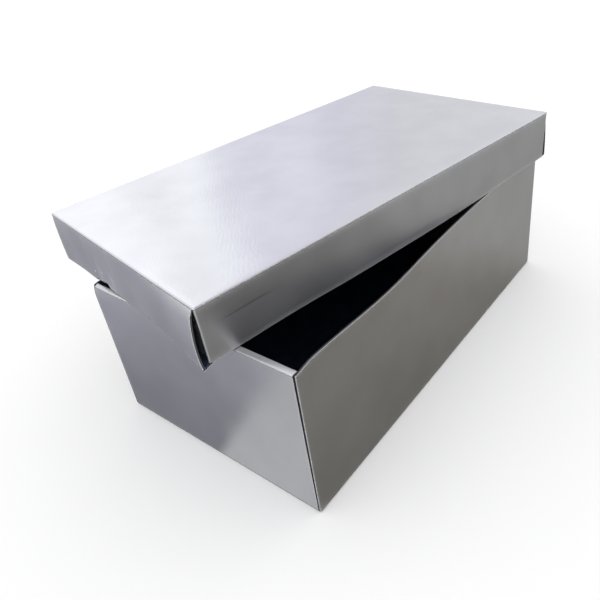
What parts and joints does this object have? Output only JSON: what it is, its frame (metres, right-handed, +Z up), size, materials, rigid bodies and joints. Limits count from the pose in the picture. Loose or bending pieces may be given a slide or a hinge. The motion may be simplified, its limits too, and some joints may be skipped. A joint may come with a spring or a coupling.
{
  "type": "shoe box",
  "caption": "Rectangular shoe box of silver foil-laminated board: a folded base with roll-over end walls and a shallow lift-off lid lying askew on its rims.",
  "frame": {"origin": "middle of the base's underside, on the surface the box stands on", "axes": "+Z up, +Y along the length from the front short end towards the rear one, +X towards the right long wall"},
  "size_m": [0.2462, 0.3692, 0.1499],
  "materials": {
    "foil_board": "silver foil laminate, satin, near-black lining on the inner face",
    "flap_board": "silver foil laminate facing the inside, where the board is rolled over"
  },
  "bodies": {
    "base": {"base_bottom": "foil_board", "base_left_wall": "foil_board", "base_right_wall": "foil_board", "base_front_left_tab": "foil_board", "base_front_right_tab": "foil_board", "base_rear_left_tab": "foil_board", "base_rear_right_tab": "foil_board", "base_front_wall": "foil_board", "base_front_rim": "foil_board", "base_rear_wall": "foil_board", "base_rear_rim": "foil_board"},
    "base_front_flap": {"base_front_flap": "flap_board"},
    "base_rear_flap": {"base_rear_flap": "flap_board"},
    "lid": {"lid_top": "foil_board", "lid_left_skirt": "foil_board", "lid_right_skirt": "foil_board", "lid_front_left_tab": "foil_board", "lid_front_right_tab": "foil_board", "lid_rear_left_tab": "foil_board", "lid_rear_right_tab": "foil_board", "lid_front_skirt": "foil_board", "lid_front_rim": "foil_board", "lid_rear_skirt": "foil_board", "lid_rear_rim": "foil_board"},
    "lid_front_flap": {"lid_front_flap": "flap_board"},
    "lid_rear_flap": {"lid_rear_flap": "flap_board"}
  },
  "joints": [
    {"name": "lid_lift", "type": "slide", "parent": "base", "child": "lid", "axis": [0, 0, 1], "range_m": [0, 0.15]},
    {"name": "base_front_flap_fold", "type": "hinge", "parent": "base", "child": "base_front_flap", "pos_m": [0, -0.1604, 0.1107], "axis": [1, 0, 0], "range_deg": [0, 85]},
    {"name": "base_rear_flap_fold", "type": "hinge", "parent": "base", "child": "base_rear_flap", "pos_m": [0, 0.1604, 0.1107], "axis": [-1, 0, 0], "range_deg": [0, 85]},
    {"name": "lid_front_flap_fold", "type": "hinge", "parent": "lid", "child": "lid_front_flap", "pos_m": [-0.04874, -0.16149, 0.1137], "axis": [-0.9861, 0.1661, 0], "range_deg": [0, 85]},
    {"name": "lid_rear_flap_fold", "type": "hinge", "parent": "lid", "child": "lid_rear_flap", "pos_m": [0.00654, 0.16669, 0.1137], "axis": [0.9861, -0.1661, 0], "range_deg": [0, 85]}
  ]
}
